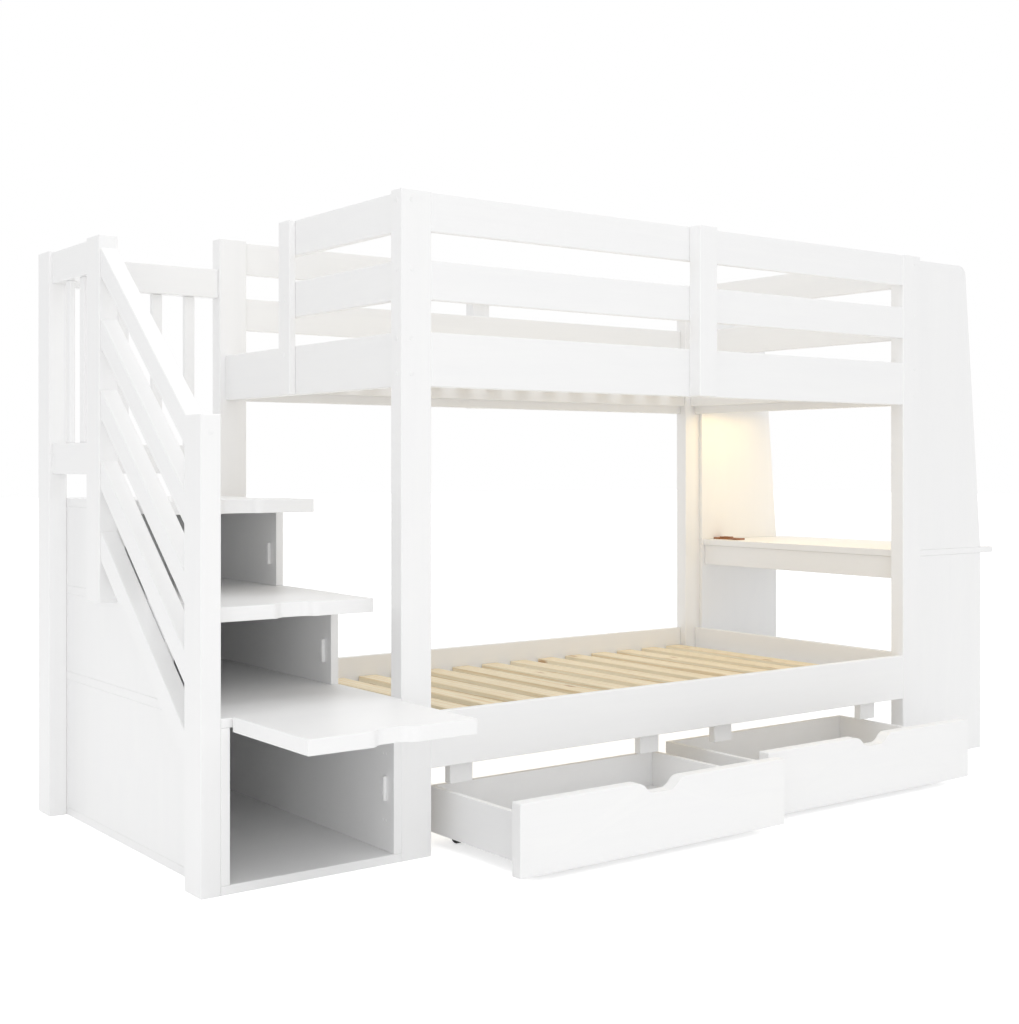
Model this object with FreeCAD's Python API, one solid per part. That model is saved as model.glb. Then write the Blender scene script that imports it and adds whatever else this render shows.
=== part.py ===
"""Bunk bed with storage stairs at one end, a desk at the other and two drawers on wheels.

Millimetres. X runs along the bed from the stairs to the desk, Y from the front to the back,
Z up from the floor. Pieces are drawn with X = 0 at the outer face of the stair-end posts and
Y = 0 at the front face of the front posts. They are moved at the end, so that the origin is
the centre of the floor area that the whole part takes, with its flaps and drawers as shown.
"""
import FreeCAD, Part
import math
import os

V = FreeCAD.Vector

# Bed frame
bed_length = 2000.0
bed_depth = 1060.0
post_width = 88.0
post_depth = 50.0
post_height = 1650.0
rail_thickness = 22.0
end_inset = 19.0
guard_rail_height = 98.0
guard_drop = 2.0
guard_rail_gap = 72.0
guard_board_gap = 80.0
side_board_height = 135.0
mid_post_width = 68.0
mid_post_depth = 44.0
entry_post_width = 65.0
entry_post_end = 638.0
lower_rail_bottom = 218.0
lower_rail_height = 139.0
edge_ease = 2.0
panel_ease = 1.0

# Slats
slat_count = 15
slat_width = 67.0
slat_thickness = 18.0
slat_pitch = 121.5
slat_first = 133.0
slat_end_gap = 2.0
cleat_width = 22.0
cleat_height = 40.0
upper_slat_rise = 68.0
lower_slat_top = 293.0

# Drawer stops on the lower front cleat
stop_width = 70.0
stop_depth = 26.0
stop_bottom = 160.0
stop_outer_offset = 790.0
stop_inner_offset = 145.0

# Stair cabinet
stair_width = 480.0
stair_panel = 22.0
stair_back_panel = 12.0
stair_fronts = (0.0, 305.5, 609.0)
stair_base_thickness = 22.0
tread_thickness = 22.0
tread_tops = (399.0, 637.0, 878.0)
tread_round = 3.0
board_names = ("tread_lower", "tread_middle", "landing_board")

# Newels, diagonal rails and guards of the stairs
newel_thickness = 50.0
newel_width = 88.0
newel_front_height = 1085.0
newel_middle_front = 605.0
newel_middle_bottom = 617.0
newel_height = 1562.0
diagonal_count = 5
diagonal_pitch = 182.0
diagonal_height = 75.0
diagonal_thickness = 45.0
diagonal_inset = 4.0
diagonal_top_end = 1529.0
guard_top_rail = (1472.0, 1558.0)
guard_low_rail = (946.0, 1030.0)
side_guard_inset = 8.0
guard_thickness = 40.0
baluster_width = 32.0
baluster_thickness = 15.0
side_balusters = 2
landing_balusters = 4

# Flap doors
flap_thickness = 35.0
flap_side_gap = 3.0
flap_end_gap = 2.0
flap_hinge_gap = 4.0
flap_open_gap = 6.0
flap_open_rise = 3.5
flap_round = 2.0
flap_notch_width = 136.0
flap_notch_depth = 22.0
flap_notch_run = 50.0
flap_names = ("flap_lower", "flap_middle", "flap_top")

# Flap hinges: a seat in a notch of the board above, an arm in a slot of the flap, a pin
pivot_setback = 10.3
hinge_inset = 70.0
knuckle_radius = 5.5
knuckle_outer = 10.0
knuckle_middle = 22.0
knuckle_gap = 0.4
pin_radius = 2.5
pin_play = 0.05
seat_plate = 2.5
seat_play = 0.5
arm_thickness = 4.0
arm_length = 25.0

# Catches on the right wall of each cubby
catch_width = 9.0
catch_depth = 10.0
catch_height = 60.0
catch_drop = 22.5
catch_play = 0.5
catch_plate = (2.5, 16.0, 34.0)
catch_plate_gap = 5.0

# Drawers
drawer_front_width = 880.0
drawer_front_thickness = 35.0
drawer_front_bottom = 18.0
drawer_front_height = 174.0
drawer_gap = 20.0
drawer_depth = 463.0
drawer_box_inset = 52.0
drawer_wall = 14.0
drawer_box_bottom = 31.5
drawer_box_top = 148.5
drawer_bottom_height = 46.0
drawer_bottom_thickness = 6.0
drawer_fronts_open = (-350.0, -271.0)
drawer_notch_width = 165.0
drawer_notch_depth = 28.0
drawer_notch_run = 60.0
drawers_left = 100.0

# Casters
wheel_radius = 20.0
wheel_width = 18.0
axle_radius = 3.0
axle_play = 0.05
fork_plate = 2.5
fork_ear = 2.5
fork_gap = 0.8
fork_length = 44.0
caster_inset = 47.0
caster_end = 46.0

# Desk
desk_panel = 15.0
desk_panel_depth = 409.0
desk_panel_top_depth = 323.0
desk_top_cut = 9.0
desk_corner_round = 34.0
desk_top_height = 690.0
desk_top_thickness = 21.0
desk_top_overhang = 70.0
apron_setback = 15.0
apron_height = 74.0
apron_thickness = 18.0
shelf_rise = 43.0
shelf_thickness = 22.0
shelf_depth = 319.0

# Lamp under the shelf
lamp_end_gap = 45.0
lamp_width = 14.0
lamp_height = 12.0
lamp_setback = 24.0
lamp_wall = 2.0

# Outlet block on the desk top
outlet_length = 126.0
outlet_width = 45.0
outlet_base = 6.0
outlet_block = 42.0
outlet_block_width = 30.0
outlet_block_height = 10.0
outlet_setback = 60.0
outlet_block_end = 28.0
outlet_round = 6.0
socket_radius = 11.0
socket_recess = 3.0
socket_hole_radius = 2.0
socket_hole_spacing = 9.0

# Bolt caps
cap_radius = 6.0
cap_thickness = 1.2
cap_edge = 24.0
cap_board_edges = (18.0, 30.0)
newel_cap_drop = 41.0

# Places worked out from the sizes
right_face = bed_length
back_face = bed_depth
inner_left = post_width
inner_right = bed_length - post_width
inner_front = post_depth
inner_back = bed_depth - post_depth
end_inner_left = end_inset + rail_thickness
end_outer_right = bed_length - end_inset
end_inner_right = end_outer_right - rail_thickness
guard_top = post_height - guard_drop
mid_rail_bottom = guard_top - 2 * guard_rail_height - guard_rail_gap
side_board_top = mid_rail_bottom - guard_board_gap
side_board_bottom = side_board_top - side_board_height
bed_middle = bed_length / 2
upper_slat_bottom = side_board_bottom + upper_slat_rise
lower_slat_bottom = lower_slat_top - slat_thickness
stair_left = -stair_width
stair_back = bed_depth - stair_back_panel
newel_left = stair_left - newel_thickness
newel_back_front = bed_depth - newel_width
board_bottoms = [top - tread_thickness for top in tread_tops]
cubby_floors = [stair_base_thickness] + list(tread_tops[:2])
desk_left = end_outer_right
desk_right = desk_left + desk_panel_depth
shelf_height = side_board_bottom + shelf_rise

parts = {}


def box(x0, x1, y0, y1, z0, z1):
    """A plain block between two values on each axis."""
    return Part.makeBox(x1 - x0, y1 - y0, z1 - z0, V(x0, y0, z0))


def eased(x0, x1, y0, y1, z0, z1, ease=edge_ease):
    """A block with its edges eased, as sanded boards have."""
    block = box(x0, x1, y0, y1, z0, z1)
    size = min(ease, 0.2 * min(x1 - x0, y1 - y0, z1 - z0))
    return block.makeChamfer(size, block.Edges)


def rod(radius, length, start, axis):
    return Part.makeCylinder(radius, length, start, axis)


def prism(points, thickness_vector):
    """A solid from a closed outline of points, pushed along a vector."""
    outline = Part.makePolygon(points + [points[0]])
    return Part.Face(outline).extrude(thickness_vector)


def keep(name, *solids):
    """Store the separate solids of one node."""
    parts[name] = list(solids)


def long_edges(shape, axis):
    """The straight edges of a shape that run along an axis."""
    found = []
    for edge in shape.Edges:
        run = edge.Vertexes[-1].Point - edge.Vertexes[0].Point
        if run.Length > 0 and abs(run.dot(axis)) > 0.999 * run.Length:
            found.append(edge)
    return found


def make_posts():
    for name, y0, y1 in (("front_posts", 0, inner_front), ("back_posts", inner_back, back_face)):
        keep(name, *[eased(x0, x0 + post_width, y0, y1, 0, post_height) for x0 in (0, inner_right)])
    mid_left = bed_middle - mid_post_width / 2
    mid_right = bed_middle + mid_post_width / 2
    keep("mid_posts",
         eased(mid_left, mid_right, -mid_post_depth, 0, side_board_bottom, guard_top),
         eased(mid_left, mid_right, back_face, back_face + mid_post_depth,
               side_board_bottom, guard_top))


def guard_levels():
    return [(guard_top - guard_rail_height, guard_top),
            (mid_rail_bottom, mid_rail_bottom + guard_rail_height)]


def make_upper_frame():
    side_faces = ((0, rail_thickness), (back_face - rail_thickness, back_face))
    keep("long_guard_rails", *[eased(inner_left, inner_right, y0, y1, z0, z1)
                               for y0, y1 in side_faces for z0, z1 in guard_levels()])
    keep("upper_side_boards", *[eased(inner_left, inner_right, y0, y1,
                                      side_board_bottom, side_board_top)
                                for y0, y1 in side_faces])
    keep("left_end_guard_rails", *[eased(end_inset, end_inner_left, inner_front, entry_post_end,
                                         z0, z1) for z0, z1 in guard_levels()])
    keep("right_end_guard_rails", *[eased(end_inner_right, end_outer_right, inner_front,
                                          inner_back, z0, z1) for z0, z1 in guard_levels()])
    keep("upper_end_boards", *[eased(x0, x0 + rail_thickness, inner_front, inner_back,
                                     side_board_bottom, side_board_top)
                               for x0 in (end_inset, end_inner_right)])
    keep("entry_post", eased(0, end_inset, entry_post_end - entry_post_width, entry_post_end,
                             side_board_bottom, guard_top))


def make_lower_frame():
    top = lower_rail_bottom + lower_rail_height
    keep("lower_side_rails", *[eased(inner_left, inner_right, y0, y0 + rail_thickness,
                                     lower_rail_bottom, top)
                               for y0 in (0, back_face - rail_thickness)])
    keep("lower_end_rails", *[eased(x0, x0 + rail_thickness, inner_front, inner_back,
                                    lower_rail_bottom, top)
                              for x0 in (end_inset, end_inner_right)])


def make_slats():
    cleats = []
    near = rail_thickness
    far = back_face - rail_thickness
    for slat_bottom in (upper_slat_bottom, lower_slat_bottom):
        z0 = slat_bottom - cleat_height
        for y0 in (near, far - cleat_width):
            cleats.append(eased(inner_left, inner_right, y0, y0 + cleat_width, z0, slat_bottom))
        for x0 in (end_inner_left, end_inner_right - cleat_width):
            cleats.append(eased(x0, x0 + cleat_width, inner_front, inner_back, z0, slat_bottom))
    keep("slat_cleats", *cleats)
    for name, z0 in (("upper_slats", upper_slat_bottom), ("lower_slats", lower_slat_bottom)):
        lefts = [slat_first + i * slat_pitch for i in range(slat_count)]
        keep(name, *[eased(x0, x0 + slat_width, near + slat_end_gap, far - slat_end_gap,
                           z0, z0 + slat_thickness) for x0 in lefts])


def make_drawer_stops():
    y0 = rail_thickness + cleat_width
    stops = []
    for offset in (-stop_outer_offset, -stop_inner_offset, stop_inner_offset, stop_outer_offset):
        x0 = bed_middle + offset - stop_width / 2
        stops.append(eased(x0, x0 + stop_width, y0, y0 + stop_depth,
                           stop_bottom, lower_slat_bottom))
    keep("drawer_stops", *stops)


def make_bolt_caps():
    """Round caps over the bolts, on the faces of posts that hold the rail ends."""
    caps = []
    heights = [z1 - cap_edge for z0, z1 in guard_levels()]
    heights += [side_board_top - cap_board_edges[0], side_board_bottom + cap_board_edges[1]]
    rail_top = lower_rail_bottom + lower_rail_height
    low_heights = [rail_top - cap_edge, lower_rail_bottom + cap_edge]
    side_ys = (post_depth / 2, back_face - post_depth / 2)
    for z in heights + low_heights:
        for y in side_ys:
            caps.append(rod(cap_radius, cap_thickness, V(right_face, y, z), V(1, 0, 0)))
    for z in heights:
        caps.append(rod(cap_radius, cap_thickness, V(0, side_ys[0], z), V(-1, 0, 0)))
        for x in (end_inset + rail_thickness / 2, end_inner_right + rail_thickness / 2):
            caps.append(rod(cap_radius, cap_thickness, V(x, 0, z), V(0, -1, 0)))
    entry_y = entry_post_end - entry_post_width / 2
    for z in (mid_rail_bottom + guard_rail_height / 2, side_board_top - cap_edge):
        caps.append(rod(cap_radius, cap_thickness, V(0, entry_y, z), V(-1, 0, 0)))
    newel_x = newel_left + newel_thickness / 2
    newel_z = newel_front_height - newel_cap_drop
    caps.append(rod(cap_radius, cap_thickness, V(newel_x, 0, newel_z), V(0, -1, 0)))
    keep("bolt_caps", *caps)


def cut_hinge_notches(board, front, bottom):
    """Notches under the front edge of a board for the hinge seats and knuckles."""
    half = knuckle_middle / 2 + knuckle_gap + knuckle_outer + knuckle_gap
    depth = pivot_setback + knuckle_radius + seat_play + seat_plate
    roof = pivot_height(bottom) + knuckle_radius + seat_play
    for x in hinge_places():
        board = board.cut(box(x - half, x + half, front - 1, front + depth, bottom - 1, roof))
    return board


def hinge_places():
    return (stair_left + stair_panel + hinge_inset, -stair_panel - hinge_inset)


def pivot_height(board_bottom):
    return board_bottom - flap_hinge_gap + pivot_setback + flap_open_gap


def stair_board(front, back, z0, z1):
    """A tread or landing with its front edges rounded."""
    board = box(stair_left, 0, front, back, z0, z1)
    size = min(tread_round, 0.3 * (z1 - z0))
    front_edges = [e for e in long_edges(board, V(1, 0, 0)) if e.CenterOfMass.y < front + 1]
    return board.makeFillet(size, front_edges)


def make_stair_cabinet():
    keep("stair_base_board", stair_board(stair_fronts[0], stair_back, 0, stair_base_thickness))
    ends = (stair_back, stair_back, back_face)
    spans = zip(board_names, stair_fronts, ends, board_bottoms, tread_tops)
    for name, front, back, z0, z1 in spans:
        keep(name, cut_hinge_notches(stair_board(front, back, z0, z1), front, z0))
    sides = []
    for front, z0, z1 in zip(stair_fronts, cubby_floors, board_bottoms):
        for x0 in (stair_left, -stair_panel):
            sides.append(eased(x0, x0 + stair_panel, front, stair_back, z0, z1, panel_ease))
    keep("stair_side_panels", *sides)
    keep("stair_back_panel", box(stair_left, 0, stair_back, back_face, 0, board_bottoms[2]))


def make_newels():
    x0, x1 = newel_left, stair_left
    keep("newel_front", eased(x0, x1, 0, newel_width, 0, newel_front_height))
    keep("newel_middle", eased(x0, x1, newel_middle_front, newel_middle_front + newel_width,
                               newel_middle_bottom, newel_height))
    keep("newel_back", eased(x0, x1, newel_back_front, back_face, 0, newel_height))


def make_diagonal_rails():
    x0 = newel_left + diagonal_inset
    front = newel_width
    back = newel_middle_front
    drop = diagonal_top_end - newel_front_height
    rails = []
    for i in range(diagonal_count):
        high = diagonal_top_end - i * diagonal_pitch
        low = high - drop
        corners = [V(x0, back, high), V(x0, front, low),
                   V(x0, front, low - diagonal_height), V(x0, back, high - diagonal_height)]
        rail = prism(corners, V(diagonal_thickness, 0, 0))
        rails.append(rail.makeChamfer(edge_ease, rail.Edges))
    keep("diagonal_rails", *rails)


def spread(start, end, count, width):
    """Starts of equal pieces spread evenly between two ends."""
    gap = (end - start - count * width) / (count + 1)
    return [start + gap + i * (gap + width) for i in range(count)]


def make_stair_guards():
    side_x = newel_left + side_guard_inset
    side_front = newel_middle_front + newel_width
    keep("side_guard_rails", *[eased(side_x, side_x + guard_thickness, side_front,
                                     newel_back_front, z0, z1)
                               for z0, z1 in (guard_low_rail, guard_top_rail)])
    guard_y = back_face - guard_thickness
    keep("landing_guard_rails", *[eased(stair_left, 0, guard_y, guard_y + guard_thickness, z0, z1)
                                  for z0, z1 in (guard_low_rail, guard_top_rail)])
    z0, z1 = guard_low_rail[1], guard_top_rail[0]
    shift = (guard_thickness - baluster_thickness) / 2
    sticks = []
    for y0 in spread(side_front, newel_back_front, side_balusters, baluster_width):
        sticks.append(eased(side_x + shift, side_x + shift + baluster_thickness,
                            y0, y0 + baluster_width, z0, z1))
    for x0 in spread(stair_left, 0, landing_balusters, baluster_width):
        sticks.append(eased(x0, x0 + baluster_width, guard_y + shift,
                            guard_y + shift + baluster_thickness, z0, z1))
    keep("guard_balusters", *sticks)


def notch_outline(half, depth, run, past):
    """The S-curved finger notch as a face in a plane: u across, w into the board.

    The edge dips from the board's edge, w = 0, to w = -depth along two arcs a side that
    turn opposite ways, with a flat floor between them. run is the length of one flank.
    """
    radius = (run ** 2 + depth ** 2) / (4 * depth)
    flat = half - run
    mid = half - run / 2
    rise = radius - math.sqrt(radius ** 2 - (run / 4) ** 2)
    left_high = (-mid - run / 4, -rise)
    left_low = (-mid + run / 4, -depth + rise)
    return [("line", (-half, past), (-half, 0)),
            ("arc", (-half, 0), left_high, (-mid, -depth / 2)),
            ("arc", (-mid, -depth / 2), left_low, (-flat, -depth)),
            ("line", (-flat, -depth), (flat, -depth)),
            ("arc", (flat, -depth), (-left_low[0], left_low[1]), (mid, -depth / 2)),
            ("arc", (mid, -depth / 2), (-left_high[0], left_high[1]), (half, 0)),
            ("line", (half, 0), (half, past)),
            ("line", (half, past), (-half, past))]


def notch_tool(place, push, half, depth, run):
    """A cutter for a finger notch: place maps (u, w) to a point, push is the cut's vector."""
    edges = []
    for kind, *points in notch_outline(half, depth, min(run, 0.95 * half), depth):
        spots = [place(u, w) for u, w in points]
        if kind == "line":
            edges.append(Part.LineSegment(spots[0], spots[1]).toShape())
        else:
            edges.append(Part.Arc(spots[0], spots[1], spots[2]).toShape())
    return Part.Face(Part.Wire(edges)).extrude(push)


def flap_place(index):
    """Back end, length and top of an open flap, and its pivot's Y and Z."""
    front = stair_fronts[index]
    bottom = board_bottoms[index]
    back = front - flap_open_gap
    length = bottom - flap_hinge_gap - cubby_floors[index] - flap_end_gap
    top = tread_tops[index] + flap_open_rise
    return back, length, top, front + pivot_setback, pivot_height(bottom)


def make_flap(index):
    back, length, top, pivot_y, pivot_z = flap_place(index)
    x0 = stair_left + stair_panel + flap_side_gap
    x1 = -stair_panel - flap_side_gap
    bottom = top - flap_thickness
    flap = box(x0, x1, back - length, back, bottom, top)
    flap = flap.makeFillet(flap_round, flap.Edges)
    middle = (x0 + x1) / 2
    free_end = back - length
    notch = notch_tool(lambda u, w: V(middle + u, free_end - w, bottom - 1),
                       V(0, 0, flap_thickness + 2), flap_notch_width / 2, flap_notch_depth,
                       flap_notch_run)
    flap = flap.cut(notch)
    arms = []
    half = knuckle_middle / 2
    for x in hinge_places():
        reach = back - arm_length
        plate = box(x - half, x + half, reach, pivot_y, pivot_z - arm_thickness / 2,
                    pivot_z + arm_thickness / 2)
        flap = flap.cut(box(x - half, x + half, reach, back + 1, pivot_z - arm_thickness / 2,
                            pivot_z + arm_thickness / 2))
        knuckle = rod(knuckle_radius, knuckle_middle, V(x - half, pivot_y, pivot_z), V(1, 0, 0))
        hole = rod(pin_radius + pin_play, knuckle_middle + 2, V(x - half - 1, pivot_y, pivot_z),
                   V(1, 0, 0))
        arms.append(plate.fuse(knuckle).removeSplitter().cut(hole))
    keep(flap_names[index], flap)
    keep(flap_names[index] + "_hinge_arms", *arms)


def hinge_seat(x, front, bottom):
    """A plate on the notch's back wall with two outer knuckles, and the pin through them."""
    pivot_y = front + pivot_setback
    pivot_z = pivot_height(bottom)
    inner = knuckle_middle / 2 + knuckle_gap
    outer = inner + knuckle_outer
    plate_y = pivot_y + knuckle_radius + seat_play
    seat = box(x - outer, x + outer, plate_y, plate_y + seat_plate,
               bottom, pivot_z + knuckle_radius)
    for start in (x - outer, x + inner):
        knuckle = rod(knuckle_radius, knuckle_outer, V(start, pivot_y, pivot_z), V(1, 0, 0))
        web = box(start, start + knuckle_outer, pivot_y, plate_y,
                  pivot_z, pivot_z + knuckle_radius)
        seat = seat.fuse(knuckle).fuse(web)
    pin = rod(pin_radius, 2 * outer, V(x - outer, pivot_y, pivot_z), V(1, 0, 0))
    return seat.removeSplitter().cut(pin), pin


def make_hinges():
    seats = []
    pins = []
    for front, bottom in zip(stair_fronts, board_bottoms):
        for x in hinge_places():
            seat, pin = hinge_seat(x, front, bottom)
            seats.append(seat)
            pins.append(pin)
    keep("flap_hinge_seats", *seats)
    keep("flap_hinge_pins", *pins)


def make_catches():
    """Magnetic catches on the right wall, just behind the closed flap."""
    catches = []
    wall = -stair_panel
    plate_thickness, plate_width, plate_height = catch_plate
    for index in range(len(stair_fronts)):
        back, length, top, pivot_y, pivot_z = flap_place(index)
        closed_front = pivot_y - (top - pivot_z)
        y0 = closed_front + flap_thickness + catch_play
        middle = (cubby_floors[index] + board_bottoms[index]) / 2 - catch_drop
        catches.append(eased(wall - catch_width, wall, y0, y0 + catch_depth,
                             middle - catch_height / 2, middle + catch_height / 2, panel_ease))
        plate_y = y0 + catch_depth + catch_plate_gap
        catches.append(eased(wall - plate_thickness, wall, plate_y, plate_y + plate_width,
                             middle - plate_height / 2, middle + plate_height / 2, panel_ease))
    keep("flap_catches", *catches)


def fork_and_axle(x, y):
    """A fixed fork under the drawer's bottom panel and its axle."""
    inner = wheel_width / 2 + fork_gap
    outer = inner + fork_ear
    top = drawer_bottom_height
    low = wheel_radius - 2.5 * axle_radius
    half = fork_length / 2
    fork = box(x - outer, x + outer, y - half, y + half, top - fork_plate, top)
    for x0 in (x - outer, x + inner):
        ear = [V(x0, y - half / 2, top - fork_plate), V(x0, y + half / 2, top - fork_plate),
               V(x0, y + 2.5 * axle_radius, low), V(x0, y - 2.5 * axle_radius, low)]
        fork = fork.fuse(prism(ear, V(fork_ear, 0, 0)))
    axle = rod(axle_radius, 2 * outer, V(x - outer, y, wheel_radius), V(1, 0, 0))
    return fork.removeSplitter().cut(axle), axle


def wheel(x, y):
    """A wheel with rounded tread edges and a hub recess on each side."""
    x0 = x - wheel_width / 2
    tyre = rod(wheel_radius, wheel_width, V(x0, y, wheel_radius), V(1, 0, 0))
    tyre = tyre.makeFillet(0.14 * wheel_width, [e for e in tyre.Edges if e.Closed])
    recess = 0.18 * wheel_width
    ring_outer = 0.72 * wheel_radius
    ring_inner = 2.2 * axle_radius
    for start in (x0 - 1, x0 + wheel_width - recess):
        ring = rod(ring_outer, recess + 1, V(start, y, wheel_radius), V(1, 0, 0))
        core = rod(ring_inner, recess + 1, V(start, y, wheel_radius), V(1, 0, 0))
        tyre = tyre.cut(ring.cut(core))
    bore = rod(axle_radius + axle_play, wheel_width + 2, V(x0 - 1, y, wheel_radius), V(1, 0, 0))
    return tyre.cut(bore)


def make_drawer(side, x0, front):
    """One drawer: its front, walls, bottom and casters. front is the Y of its front face."""
    x1 = x0 + drawer_front_width
    inside = front + drawer_front_thickness
    top = drawer_front_bottom + drawer_front_height
    face = eased(x0, x1, front, inside, drawer_front_bottom, top)
    middle = (x0 + x1) / 2
    notch = notch_tool(lambda u, w: V(middle + u, front - 1, top + w),
                       V(0, drawer_front_thickness + 2, 0),
                       drawer_notch_width / 2, drawer_notch_depth, drawer_notch_run)
    keep(side + "_front", face.cut(notch))
    left = x0 + drawer_box_inset
    right = x1 - drawer_box_inset
    rear = front + drawer_depth
    z0, z1 = drawer_box_bottom, drawer_box_top
    keep(side + "_walls",
         eased(left, left + drawer_wall, inside, rear, z0, z1, panel_ease),
         eased(right - drawer_wall, right, inside, rear, z0, z1, panel_ease),
         eased(left + drawer_wall, right - drawer_wall, rear - drawer_wall, rear, z0, z1, panel_ease))
    keep(side + "_bottom", box(left + drawer_wall, right - drawer_wall, inside,
                               rear - drawer_wall, drawer_bottom_height,
                               drawer_bottom_height + drawer_bottom_thickness))
    wheel_xs = (left + drawer_wall + caster_inset, right - drawer_wall - caster_inset)
    forks = []
    for row, y in (("front", inside + caster_end), ("back", rear - caster_end)):
        keep("%s_%s_wheels" % (side, row), *[wheel(x, y) for x in wheel_xs])
        for x in wheel_xs:
            forks += fork_and_axle(x, y)
    keep(side + "_casters", *forks)


def make_drawers():
    lefts = (drawers_left, drawers_left + drawer_front_width + drawer_gap)
    for side, x0, front in zip(("drawer_left", "drawer_right"), lefts, drawer_fronts_open):
        make_drawer(side, x0, front)


def desk_edge(z):
    """X of the outer edge of the end panels at a height, straight from desk top to guard top."""
    share = (z - desk_top_height) / (guard_top - desk_top_height)
    return desk_right - share * (desk_panel_depth - desk_panel_top_depth)


def upper_panel(y0):
    """A tapered end panel above the desk top with one rounded corner."""
    top_x = desk_edge(guard_top)
    panel = prism([V(desk_left, y0, desk_top_height), V(desk_right, y0, desk_top_height),
                   V(top_x, y0, guard_top), V(desk_left, y0, guard_top)], V(0, desk_panel, 0))
    corner = [e for e in long_edges(panel, V(0, 1, 0))
              if abs(e.CenterOfMass.x - top_x) < 1 and e.CenterOfMass.z > guard_top - 1]
    panel = panel.makeFillet(desk_corner_round, corner)
    rims = [e for e in panel.Edges if e.BoundBox.YLength < 0.01]
    return panel.makeChamfer(min(panel_ease, 0.2 * desk_panel), rims)


def make_desk():
    panel_ys = (inner_front, inner_back - desk_panel)
    board_bottom = desk_top_height - desk_top_thickness
    keep("desk_lower_panels", *[eased(desk_left, desk_right, y0, y0 + desk_panel, 0,
                                      board_bottom, panel_ease) for y0 in panel_ys])
    keep("desk_upper_panels", *[upper_panel(y0) for y0 in panel_ys])
    inner_y0 = inner_front + desk_panel
    inner_y1 = inner_back - desk_panel
    top = eased(desk_left, desk_right + desk_top_overhang, inner_front, inner_back,
                board_bottom, desk_top_height)
    keep("desk_top", top.cut(box(desk_left - 1, desk_left + desk_top_cut, inner_y0, inner_y1,
                                 board_bottom - 1, desk_top_height + 1)))
    apron_x = desk_left + apron_setback
    keep("desk_apron", eased(apron_x, apron_x + apron_thickness, inner_y0, inner_y1,
                             board_bottom - apron_height, board_bottom))
    shelf_bottom = shelf_height - shelf_thickness
    keep("desk_shelf", eased(desk_left, desk_left + shelf_depth, inner_y0, inner_y1,
                             shelf_bottom, shelf_height))
    make_lamp(shelf_bottom)
    make_outlet(inner_y1)


def make_lamp(shelf_bottom):
    """A slim lamp along the underside of the shelf: a channel with a diffuser in it."""
    x0 = desk_left + lamp_setback
    y0 = inner_front + desk_panel + lamp_end_gap
    y1 = inner_back - desk_panel - lamp_end_gap
    z0 = shelf_bottom - lamp_height
    housing = box(x0, x0 + lamp_width, y0, y1, z0, shelf_bottom)
    hollow = box(x0 + lamp_wall, x0 + lamp_width - lamp_wall, y0 + lamp_wall,
                 y1 - lamp_wall, z0, shelf_bottom - lamp_wall)
    keep("lamp_housing", housing.cut(hollow))
    keep("lamp_diffuser", box(x0 + lamp_wall, x0 + lamp_width - lamp_wall, y0 + lamp_wall,
                              y1 - lamp_wall, z0, shelf_bottom - lamp_wall))


def make_outlet(panel_face):
    """A low outlet block: a base plate, a raised block on it and one round socket in that."""
    x0 = desk_left + outlet_setback
    x1 = x0 + outlet_width
    y1 = panel_face
    z0 = desk_top_height
    base = box(x0, x1, y1 - outlet_length, y1, z0, z0 + outlet_base)
    base = base.makeFillet(outlet_round, long_edges(base, V(0, 0, 1)))
    centre_x = (x0 + x1) / 2
    block_y1 = y1 - outlet_block_end
    centre_y = block_y1 - outlet_block / 2
    top = z0 + outlet_block_height
    block = box(centre_x - outlet_block_width / 2, centre_x + outlet_block_width / 2,
                block_y1 - outlet_block, block_y1, z0, top)
    body = base.fuse(block).removeSplitter()
    floor = V(centre_x, centre_y, top - socket_recess)
    insert = rod(socket_radius, socket_recess / 2, floor, V(0, 0, 1))
    for dy in (-socket_hole_spacing / 2, socket_hole_spacing / 2):
        hole = rod(socket_hole_radius, socket_recess, floor + V(0, dy, 0), V(0, 0, 1))
        insert = insert.cut(hole)
    keep("outlet_body", body.cut(rod(socket_radius, socket_recess + 1, floor, V(0, 0, 1))))
    keep("outlet_socket", insert)


def origin_shift():
    """The move that puts the origin at the centre of the whole part's floor area."""
    whole = Part.makeCompound([s for solids in parts.values() for s in solids]).BoundBox
    return V(-(whole.XMin + whole.XMax) / 2, -(whole.YMin + whole.YMax) / 2, 0)


def build():
    make_posts()
    make_upper_frame()
    make_lower_frame()
    make_slats()
    make_drawer_stops()
    make_bolt_caps()
    make_stair_cabinet()
    make_newels()
    make_diagonal_rails()
    make_stair_guards()
    for index in range(len(stair_fronts)):
        make_flap(index)
    make_hinges()
    make_catches()
    make_drawers()
    make_desk()
    return origin_shift()


shift = build()
os.makedirs("parts", exist_ok=True)
for name, solids in parts.items():
    shape = Part.makeCompound(solids) if len(solids) > 1 else solids[0].copy()
    shape.translate(shift)
    shape.exportStep("parts/%s.step" % name)
    print("%-24s %2d solids, valid %s" % (name, len(shape.Solids), shape.isValid()))
print("shift", shift)
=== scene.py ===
"""Looks for the bunk bed with storage stairs, desk and drawers.

The CAD nodes keep their shapes and get painted, pine, metal and plastic materials. The script adds
four small screw plugs, the studio floor, world and lamps, and the camera. Lengths are in metres.
"""
import math

import bmesh
import bpy
from mathutils import Matrix, Vector


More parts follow.
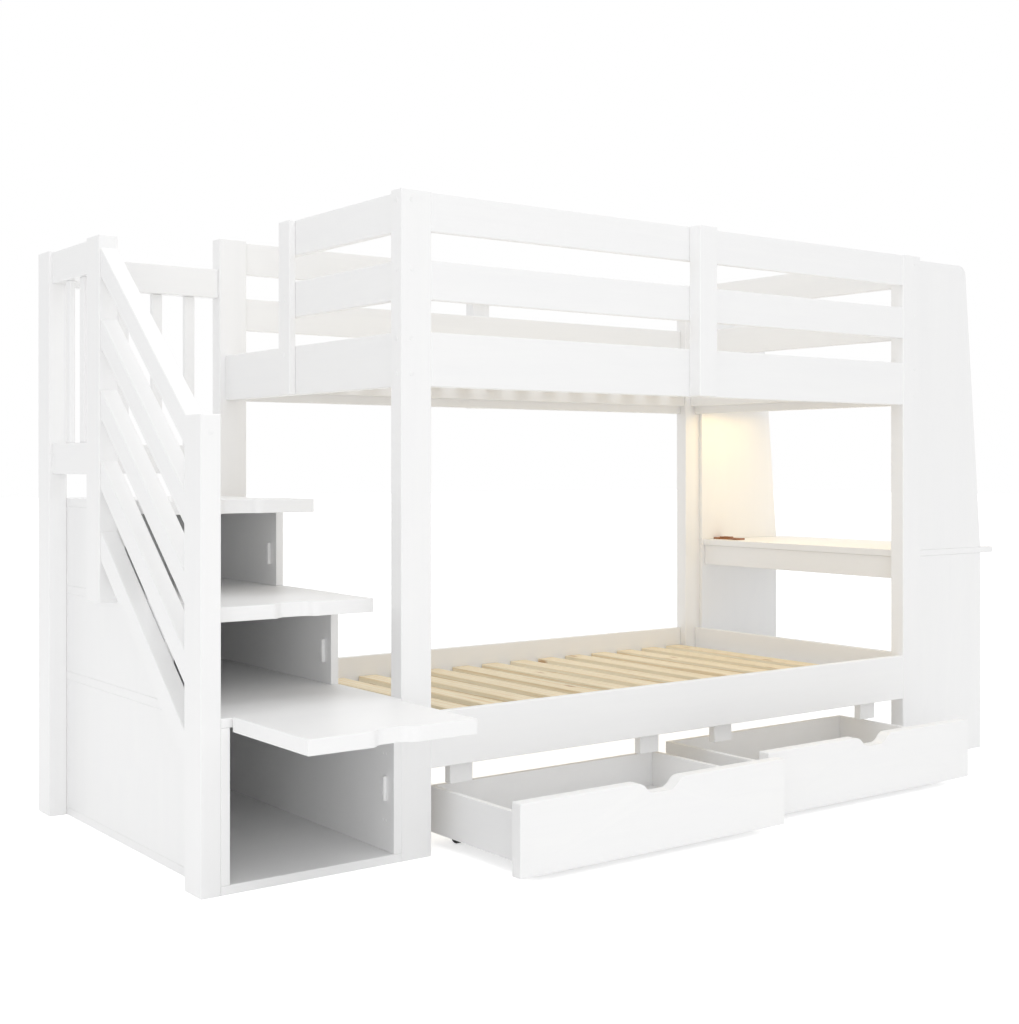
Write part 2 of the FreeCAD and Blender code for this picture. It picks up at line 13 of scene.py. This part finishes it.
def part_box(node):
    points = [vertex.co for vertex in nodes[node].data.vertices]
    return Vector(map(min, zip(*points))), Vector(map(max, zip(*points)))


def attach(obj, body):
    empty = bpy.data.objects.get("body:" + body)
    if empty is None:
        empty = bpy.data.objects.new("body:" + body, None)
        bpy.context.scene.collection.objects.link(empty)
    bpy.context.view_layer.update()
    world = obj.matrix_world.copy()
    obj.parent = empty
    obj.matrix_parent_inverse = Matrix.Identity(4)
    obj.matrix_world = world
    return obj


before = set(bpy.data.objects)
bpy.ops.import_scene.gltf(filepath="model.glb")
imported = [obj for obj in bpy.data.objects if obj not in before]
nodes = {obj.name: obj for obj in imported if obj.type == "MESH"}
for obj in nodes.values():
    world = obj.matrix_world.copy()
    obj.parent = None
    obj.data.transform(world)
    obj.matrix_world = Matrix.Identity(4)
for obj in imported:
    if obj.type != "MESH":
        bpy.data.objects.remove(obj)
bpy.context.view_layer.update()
scene = bpy.context.scene

WHITE = (1.0, 1.0, 1.0)


# ---------------------------------------------------------------- node helpers

# Socket numbers of a Mix node that mixes colours.
MIX_FACTOR, MIX_A, MIX_B, MIX_RESULT = 0, 6, 7, 2

# Object coordinates without any stretch.
EVEN = (1.0, 1.0, 1.0)


def seen_directly(tree):
    """A node whose value is 1 for camera and glossy rays, and 0 for the light on the object."""
    path = tree.nodes.new("ShaderNodeLightPath")
    seen = tree.nodes.new("ShaderNodeMath")
    seen.operation = "MAXIMUM"
    tree.links.new(path.outputs["Is Camera Ray"], seen.inputs[0])
    tree.links.new(path.outputs["Is Glossy Ray"], seen.inputs[1])
    return seen


class Graph:
    """A short way to write a material's node tree. Colours are passed as (node, socket) pairs."""

    def __init__(self, name):
        self.mat = bpy.data.materials.new(name)
        self.mat.use_nodes = True
        self.tree = self.mat.node_tree
        self.tree.nodes.clear()
        self.out = self.add("ShaderNodeOutputMaterial")
        self.bsdf = self.add("ShaderNodeBsdfPrincipled")
        self.link(self.bsdf, "BSDF", self.out, "Surface")

    def add(self, kind, **settings):
        node = self.tree.nodes.new(kind)
        for key, value in settings.items():
            setattr(node, key, value)
        return node

    def link(self, a, a_socket, b, b_socket):
        self.tree.links.new(a.outputs[a_socket], b.inputs[b_socket])

    def set(self, node, **values):
        """Sets sockets by name, with _ for a space."""
        for key, value in values.items():
            node.inputs[key.replace("_", " ")].default_value = value

    def place(self, stretch=EVEN, island=0.0):
        """Object coordinates, stretched per axis, and moved for each solid by a part of island."""
        coord = self.add("ShaderNodeTexCoord")
        scale = self.add("ShaderNodeMapping")
        scale.inputs["Scale"].default_value = stretch
        self.link(coord, "Object", scale, "Vector")
        if island:
            info = self.add("ShaderNodeNewGeometry")
            times = self.add("ShaderNodeMath", operation="MULTIPLY")
            times.inputs[1].default_value = island
            self.link(info, "Random Per Island", times, 0)
            self.link(times, 0, scale, "Location")
        return scale

    def noise(self, vector, scale=1.0, detail=3.0, roughness=0.5, distortion=0.0):
        node = self.add("ShaderNodeTexNoise")
        self.set(node, Scale=scale, Detail=detail, Roughness=roughness, Distortion=distortion)
        self.link(vector, 0, node, "Vector")
        return node

    def ramp(self, source, socket, stops):
        """A colour ramp from (position, colour) stops."""
        node = self.add("ShaderNodeValToRGB")
        line = node.color_ramp
        while len(line.elements) < len(stops):
            line.elements.new(0.5)
        for element, (position, colour) in zip(line.elements, stops):
            element.position = position
            element.color = (*colour, 1.0)
        self.link(source, socket, node, "Fac")
        return (node, "Color")

    def multiply(self, factor, a, b):
        """Colour a darkened by colour b, by factor."""
        node = self.add("ShaderNodeMix", data_type="RGBA", blend_type="MULTIPLY")
        node.inputs[MIX_FACTOR].default_value = factor
        for index, (source, socket) in ((MIX_A, a), (MIX_B, b)):
            self.tree.links.new(source.outputs[socket], node.inputs[index])
        return (node, MIX_RESULT)

    def colour(self, pair):
        source, socket = pair
        self.tree.links.new(source.outputs[socket], self.bsdf.inputs["Base Color"])

    def bump(self, source, socket, strength, distance):
        node = self.add("ShaderNodeBump")
        self.set(node, Strength=strength, Distance=distance)
        self.link(source, socket, node, "Height")
        self.link(node, "Normal", self.bsdf, "Normal")

    def rough(self, source, socket, low, high):
        node = self.add("ShaderNodeMapRange")
        self.set(node, To_Min=low, To_Max=high)
        self.link(source, socket, node, "Value")
        self.link(node, "Result", self.bsdf, "Roughness")


def along(axis, across, length):
    """Per-axis stretch for a grain: length on the grain's own axis, across on the two others."""
    values = [across, across, across]
    values["xyz".index(axis)] = length
    return values


# ---------------------------------------------------------------- materials

PAINT_COOL = (0.930, 0.930, 0.932)
PAINT_WARM = (0.943, 0.943, 0.941)
PAINT_GRAIN = (0.988, 0.988, 0.988)
PAINT_PEEL_SHARE = 0.25

PINE = {
    "light": (0.98, 0.90, 0.71),
    "mid": (0.97, 0.845, 0.62),
    "dark": (0.90, 0.70, 0.44),
    "knot": (0.52, 0.30, 0.14),
}
# A lighter, cooler copy of the same pine for the upper slats: painted light that stands in for
# light on their shaded undersides.
PINE_PAINTED_LIGHTER = {
    "light": (0.95, 0.92, 0.86),
    "mid": (0.94, 0.90, 0.82),
    "dark": (0.90, 0.83, 0.72),
    "knot": (0.62, 0.48, 0.34),
}
PINE_STREAK = (0.93, 0.92, 0.90)
PINE_DARKEST_BOARD = (0.94, 0.93, 0.90)
RING_WANDER = (0.012, 0.012, 0.012)

METAL_DULL_SHARE = 0.86
DUST_GAIN = 1.18
DUST_LIFT = 0.004
FROST_SHARE = 0.96


def white_paint(axis):
    """Satin white paint over wood whose grain still shows faintly along one axis."""
    g = Graph("white_paint_" + axis)
    fine = g.noise(g.place(along(axis, across=220.0, length=6.0), island=3.0),
                   detail=4.0, roughness=0.6)
    broad = g.noise(g.place(along(axis, across=18.0, length=1.2), island=5.0),
                    distortion=0.6)
    peel = g.noise(g.place(), scale=900.0, detail=2.0)
    tone = g.ramp(broad, "Fac", [(0.3, PAINT_COOL), (0.7, PAINT_WARM)])
    grain = g.ramp(fine, "Fac", [(0.35, PAINT_GRAIN), (0.55, WHITE)])
    g.colour(g.multiply(0.5, tone, grain))
    height = g.add("ShaderNodeMath", operation="MULTIPLY_ADD")
    height.inputs[1].default_value = PAINT_PEEL_SHARE
    g.link(peel, "Fac", height, 0)
    g.link(fine, "Fac", height, 2)
    g.bump(height, 0, strength=0.14, distance=0.0003)
    g.rough(broad, "Fac", low=0.34, high=0.48)
    g.set(g.bsdf, Coat_Weight=0.08, Coat_Roughness=0.25)
    return g.mat


def pine(name, light, mid, dark, knot):
    """Bare planed pine along y, with growth-ring lines, streaks and a few knots."""
    g = Graph(name)
    bent = g.noise(g.place(along("y", across=9.0, length=0.9), island=7.0), detail=2.0)
    place = g.place(along("y", across=1.0, length=0.055), island=11.0)
    shift = g.add("ShaderNodeVectorMath", operation="MULTIPLY_ADD")
    shift.inputs[1].default_value = RING_WANDER
    g.link(bent, "Color", shift, 0)
    g.link(place, 0, shift, 2)
    rings = g.add("ShaderNodeTexWave", wave_type="RINGS", rings_direction="Y",
                  wave_profile="SAW")
    g.set(rings, Scale=26.0, Distortion=3.0, Detail=2.5, Detail_Scale=1.4)
    g.link(shift, 0, rings, "Vector")
    fibre = g.noise(g.place(along("y", across=900.0, length=14.0), island=3.0),
                    detail=4.0, roughness=0.65)
    wood = g.ramp(rings, "Fac", [(0.0, light), (0.62, mid), (0.93, dark), (1.0, light)])
    streak = g.ramp(fibre, "Fac", [(0.3, PINE_STREAK), (0.6, WHITE)])
    info = g.add("ShaderNodeNewGeometry")
    board = g.ramp(info, "Random Per Island", [(0.0, PINE_DARKEST_BOARD), (1.0, WHITE)])
    knots = g.add("ShaderNodeTexVoronoi", feature="F1")
    g.set(knots, Scale=1.0, Randomness=1.0)
    g.link(g.place(along("y", across=9.0, length=3.2), island=23.0), 0, knots, "Vector")
    spots = g.ramp(knots, "Distance", [(0.05, knot), (0.11, WHITE)])
    g.colour(g.multiply(0.75, g.multiply(1.0, g.multiply(1.0, wood, streak), board), spots))
    g.bump(fibre, "Fac", strength=0.3, distance=0.0004)
    g.rough(fibre, "Fac", low=0.52, high=0.68)
    return g.mat


def metal(name, base, brushed_axis):
    """Zinc-plated steel with fine brushing and a few duller patches."""
    g = Graph(name)
    lines = g.noise(g.place(along(brushed_axis, across=1400.0, length=30.0)))
    patch = g.noise(g.place((60.0, 60.0, 60.0)))
    dull = tuple(METAL_DULL_SHARE * c for c in base)
    g.colour(g.ramp(patch, "Fac", [(0.3, dull), (0.7, base)]))
    g.bump(lines, "Fac", strength=0.15, distance=0.0002)
    g.rough(patch, "Fac", low=0.26, high=0.42)
    g.set(g.bsdf, Metallic=1.0)
    return g.mat


def moulded(name, base, low, high):
    """Moulded plastic or rubber with a fine texture, and roughness from low to high."""
    g = Graph(name)
    skin = g.noise(g.place(), scale=1600.0, detail=2.0)
    dust = g.noise(g.place(), scale=45.0, detail=4.0)
    dusty = tuple(min(1.0, DUST_GAIN * c + DUST_LIFT) for c in base)
    g.colour(g.ramp(dust, "Fac", [(0.35, base), (0.75, dusty)]))
    g.bump(skin, "Fac", strength=0.18, distance=0.0003)
    g.rough(dust, "Fac", low, high)
    return g.mat


def glow(name, colour, strength):
    """A frosted diffuser lit from inside."""
    g = Graph(name)
    frost = g.noise(g.place(), scale=300.0, detail=2.0)
    frosted = tuple(FROST_SHARE * c for c in colour)
    g.colour(g.ramp(frost, "Fac", [(0.3, frosted), (0.7, colour)]))
    g.rough(frost, "Fac", low=0.4, high=0.55)
    g.set(g.bsdf, Emission_Color=(*colour, 1.0), Emission_Strength=strength)
    return g.mat


paint = {axis: white_paint(axis) for axis in "xyz"}
lower_pine = pine("pine_slat", **PINE)
upper_pine_painted_lighter = pine("pine_slat_painted_lighter", **PINE_PAINTED_LIGHTER)
zinc = metal("zinc_plate", (0.63, 0.64, 0.66), "x")
catch = moulded("catch_plastic", (0.90, 0.90, 0.90), 0.28, 0.4)
rubber = moulded("wheel_rubber", (0.035, 0.035, 0.037), 0.55, 0.75)
outlet = moulded("outlet_shell", (0.30, 0.115, 0.035), 0.30, 0.42)
socket = moulded("outlet_insert", (0.060, 0.030, 0.014), 0.35, 0.5)
caps = moulded("cap_plastic", (0.88, 0.88, 0.88), 0.3, 0.42)
housing = moulded("lamp_coating", (0.82, 0.82, 0.81), 0.3, 0.42)
diffuser = glow("lamp_diffuser_glow", (1.0, 0.84, 0.60), 3.0)

# The paint's letter is the axis that a node's boards run along.
LOOKS = {
    paint["x"]: """long_guard_rails upper_side_boards lower_side_rails slat_cleats tread_lower
        tread_middle landing_board stair_base_board flap_lower flap_middle flap_top
        drawer_left_front drawer_right_front drawer_left_bottom drawer_right_bottom
        landing_guard_rails""",
    paint["y"]: """left_end_guard_rails right_end_guard_rails upper_end_boards lower_end_rails
        side_guard_rails diagonal_rails desk_top desk_apron desk_shelf drawer_left_walls
        drawer_right_walls""",
    paint["z"]: """front_posts back_posts mid_posts entry_post newel_front newel_middle
        newel_back guard_balusters stair_side_panels stair_back_panel desk_lower_panels
        desk_upper_panels drawer_stops""",
    lower_pine: "lower_slats",
    upper_pine_painted_lighter: "upper_slats",
    zinc: """flap_hinge_seats flap_hinge_pins flap_lower_hinge_arms flap_middle_hinge_arms
        flap_top_hinge_arms drawer_left_casters drawer_right_casters""",
    catch: "flap_catches",
    rubber: """drawer_left_front_wheels drawer_left_back_wheels drawer_right_front_wheels
        drawer_right_back_wheels""",
    outlet: "outlet_body",
    socket: "outlet_socket",
    caps: "bolt_caps",
    housing: "lamp_housing",
    diffuser: "lamp_diffuser",
}
for material, names in LOOKS.items():
    for name in names.split():
        nodes[name].data.materials.clear()
        nodes[name].data.materials.append(material)


# ---------------------------------------------------------------- small pieces

PLUG_RADIUS = 0.0032
PLUG_DEPTH = 0.0016
PLUG_OUT = 0.0005
PLUG_EDGE = 0.0004
PLUG_SIDES = 20
# How far back a pair's first plug lies from the lowest catch's front, and each plug from the first.
PLUG_SETBACK = 0.004
PLUG_BACKS = (0.0, 0.014)
# How far the pairs lie above the catch's middle.
PLUG_RISES = (0.084, -0.080)
CATCH_HALF_HEIGHT = 0.030


def wall_plugs():
    """Pairs of small screw plugs above and below the lowest catch, on the cubby's right wall."""
    lo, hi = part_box("flap_catches")
    wall = hi[0]
    first_y = lo[1] + PLUG_SETBACK
    catch_z = lo[2] + CATCH_HALF_HEIGHT
    turn = Matrix.Rotation(math.radians(-90.0), 4, "Y")
    bm = bmesh.new()
    for rise in PLUG_RISES:
        for back in PLUG_BACKS:
            made = bmesh.ops.create_cone(bm, cap_ends=True, cap_tris=False, segments=PLUG_SIDES,
                                         radius1=PLUG_RADIUS, radius2=PLUG_RADIUS,
                                         depth=PLUG_DEPTH)
            place = Matrix.Translation((wall - PLUG_OUT, first_y + back, catch_z + rise))
            bmesh.ops.transform(bm, matrix=place @ turn, verts=made["verts"])
    rims = [edge for edge in bm.edges if len(edge.link_faces) == 2
            and any(len(face.verts) > 4 for face in edge.link_faces)]
    bmesh.ops.bevel(bm, geom=rims, offset=PLUG_EDGE, segments=2, affect="EDGES")
    mesh = bpy.data.meshes.new("catch_plugs")
    bm.to_mesh(mesh)
    bm.free()
    for face in mesh.polygons:
        face.use_smooth = len(face.vertices) == 4
    plugs = bpy.data.objects.new("catch_plugs", mesh)
    scene.collection.objects.link(plugs)
    mesh.materials.append(catch)
    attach(plugs, "root")


wall_plugs()


# ---------------------------------------------------------------- floor and light

FLOOR_HALF = 40.0
FLOOR_COLOUR = (0.93, 0.93, 0.93)
# What the floor adds to itself where it is seen, so that it shows as white.
FLOOR_LIFT = 0.60
WORLD_LEVEL = 0.79

WARM = (1.0, 0.72, 0.27)
DIFFUSER_GAP = 0.002
DIFFUSER_WIDTH = 0.012
DIFFUSER_POWER = 0.64
SHELF_GAP = 0.020
SHELF_GLOW_WIDTH = 0.24
SHELF_GLOW_REACH = 0.9
SHELF_GLOW_POWER = 0.66


def stage_floor():
    mesh = bpy.data.meshes.new("floor")
    bm = bmesh.new()
    bmesh.ops.create_grid(bm, x_segments=1, y_segments=1, size=FLOOR_HALF)
    bm.to_mesh(mesh)
    bm.free()
    floor = bpy.data.objects.new("floor", mesh)
    scene.collection.objects.link(floor)
    g = Graph("pale_floor")
    g.set(g.bsdf, Base_Color=(*FLOOR_COLOUR, 1.0), Roughness=0.85)
    lift = g.add("ShaderNodeMath", operation="MULTIPLY")
    lift.inputs[1].default_value = FLOOR_LIFT
    g.link(seen_directly(g.tree), 0, lift, 0)
    g.set(g.bsdf, Emission_Color=(*WHITE, 1.0))
    g.link(lift, 0, g.bsdf, "Emission Strength")
    mesh.materials.append(g.mat)


def stage_world(level):
    """A world that lights the object at level, and shows as white where it is seen."""
    world = bpy.data.worlds.new("studio")
    scene.world = world
    world.use_nodes = True
    tree = world.node_tree
    tree.nodes.clear()
    out = tree.nodes.new("ShaderNodeOutputWorld")
    mix = tree.nodes.new("ShaderNodeMixShader")
    tree.links.new(seen_directly(tree).outputs[0], mix.inputs[0])
    for index, strength in ((1, level), (2, 1.0)):
        background = tree.nodes.new("ShaderNodeBackground")
        background.inputs["Color"].default_value = (*WHITE, 1.0)
        background.inputs["Strength"].default_value = strength
        tree.links.new(background.outputs[0], mix.inputs[index])
    tree.links.new(mix.outputs[0], out.inputs["Surface"])


def lamp(name, place, target, size, power, colour=WHITE, size_y=None):
    """An area lamp at place that faces target: a square, or a strip where size_y is given."""
    data = bpy.data.lights.new(name, "AREA")
    data.energy = power
    data.color = colour
    data.size = size
    if size_y:
        data.shape = "RECTANGLE"
        data.size_y = size_y
    obj = bpy.data.objects.new(name, data)
    obj.location = place
    obj.rotation_mode = "QUATERNION"
    obj.rotation_quaternion = (Vector(target) - Vector(place)).to_track_quat("-Z", "Y")
    scene.collection.objects.link(obj)
    return obj


def lamp_under(name, node, gap, width, power, reach=1.0):
    """A warm strip lamp facing down, gap below a CAD node and reach of the node's length long."""
    lo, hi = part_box(node)
    middle = ((lo[0] + hi[0]) / 2, (lo[1] + hi[1]) / 2)
    return lamp(name, (*middle, lo[2] - gap), (*middle, 0.0), width, power, WARM,
                reach * (hi[1] - lo[1]))


stage_floor()
stage_world(WORLD_LEVEL)
lamp("low_front", place=(-4.4, -5.6, 0.9), target=(-0.3, 0.0, 0.6), size=3.0, power=58.0)
lamp("overhead", place=(-0.5, -1.0, 6.0), target=(-0.3, -0.3, 0.8), size=5.0, power=84.0)
lamp_under("shelf_lamp", "lamp_diffuser", DIFFUSER_GAP, DIFFUSER_WIDTH, DIFFUSER_POWER)
glow_lamp = lamp_under("shelf_glow", "desk_shelf", SHELF_GAP, SHELF_GLOW_WIDTH,
                       SHELF_GLOW_POWER, SHELF_GLOW_REACH)
glow_lamp.visible_camera = False


# ---------------------------------------------------------------- camera

# Fitted to the photo's straight edges. It looks level, turned to the right of +y.
CAMERA_PLACE = (-2.904743, -3.415116, 0.969108)
CAMERA_TURN = -36.7306
CAMERA_LENS = 51.73
CAMERA_SHIFT_Y = -0.0453

camera = bpy.data.cameras.new("camera")
camera.sensor_fit = "AUTO"
camera.sensor_width = 36.0
camera.lens = CAMERA_LENS
camera.shift_y = CAMERA_SHIFT_Y
camera.clip_end = 200.0
view = bpy.data.objects.new("camera", camera)
view.location = CAMERA_PLACE
view.rotation_euler = (math.radians(90.0), 0.0, math.radians(CAMERA_TURN))
scene.collection.objects.link(view)
scene.camera = view
scene.view_settings.view_transform = "Standard"
